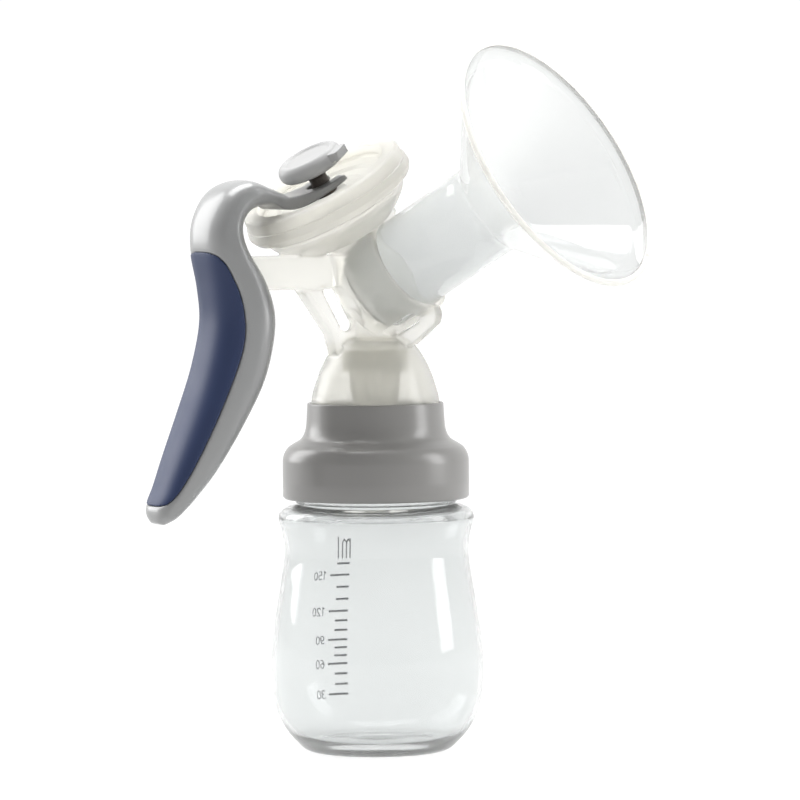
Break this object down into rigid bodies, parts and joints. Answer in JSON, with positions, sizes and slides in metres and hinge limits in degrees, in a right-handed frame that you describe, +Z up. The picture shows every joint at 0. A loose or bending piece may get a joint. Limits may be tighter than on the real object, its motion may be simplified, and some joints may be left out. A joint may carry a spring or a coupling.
{
  "type": "manual breast pump",
  "caption": "Hand-squeezed breast pump: clear feeding bottle, grey screw collar, translucent pump head, silicone diaphragm lifted by a lever handle, and a flared breast shield.",
  "frame": {"origin": "centre of the bottle's base, on the surface that it stands on", "axes": "+Z up along the bottle's axis, +X below the breast shield's axis, handle towards -Y"},
  "size_m": [0.1361, 0.1185, 0.2283],
  "materials": {
    "clear_bottle": "clear polypropylene, glossy",
    "clear_shield": "clear polypropylene, glossy",
    "milky_plastic": "natural milky polypropylene",
    "silicone": "milky silicone, satin",
    "grey_plastic": "warm grey plastic, soft gloss",
    "light_plastic": "light grey plastic, glossy",
    "blue_grip": "soft-touch slate blue",
    "stem_plastic": "grey-brown plastic",
    "steel": "plain turned steel"
  },
  "bodies": {
    "bottle": {"bottle": "clear_bottle"},
    "head": {"pump_body": "milky_plastic", "duckbill_valve": "silicone", "diaphragm": "silicone", "pivot_pin": "steel"},
    "collar": {"screw_collar": "grey_plastic", "seal_ring": "silicone"},
    "shield": {"breast_shield": "clear_shield"},
    "stem": {"stem": "stem_plastic", "knob": "light_plastic"},
    "handle": {"handle": "light_plastic", "grip_inlay": "blue_grip"}
  },
  "joints": [
    {"name": "head_rise", "type": "slide", "parent": "bottle", "child": "head", "axis": [0, 0, 1], "range_m": [0, 0.0076]},
    {"name": "collar_turn", "type": "hinge", "parent": "head", "child": "collar", "pos_m": [0, 0, 0.0888], "axis": [0, 0, 1], "range_deg": [0, 450]},
    {"name": "shield_pull", "type": "slide", "parent": "head", "child": "shield", "axis": [0.866, 0, 0.5], "range_m": [0, 0.016]},
    {"name": "handle_squeeze", "type": "hinge", "parent": "head", "child": "handle", "pos_m": [-0.02394, -0.04446, 0.155], "axis": [0.8805, -0.4741, 0], "range_deg": [0, 11.5], "stiffness_Nm_per_rad": 1.2, "springref_deg": -4.58},
    {"name": "stem_lift", "type": "slide", "parent": "head", "child": "stem", "axis": [-0.237, -0.4402, 0.866], "range_m": [0, 0.0082], "deforming": ["diaphragm"]}
  ],
  "couplings": [
    {"joint": "head_rise", "follows": "collar_turn", "m_per_rad": 0.00095493},
    {"joint": "stem_lift", "follows": "handle_squeeze", "m_per_rad": 0.04}
  ]
}
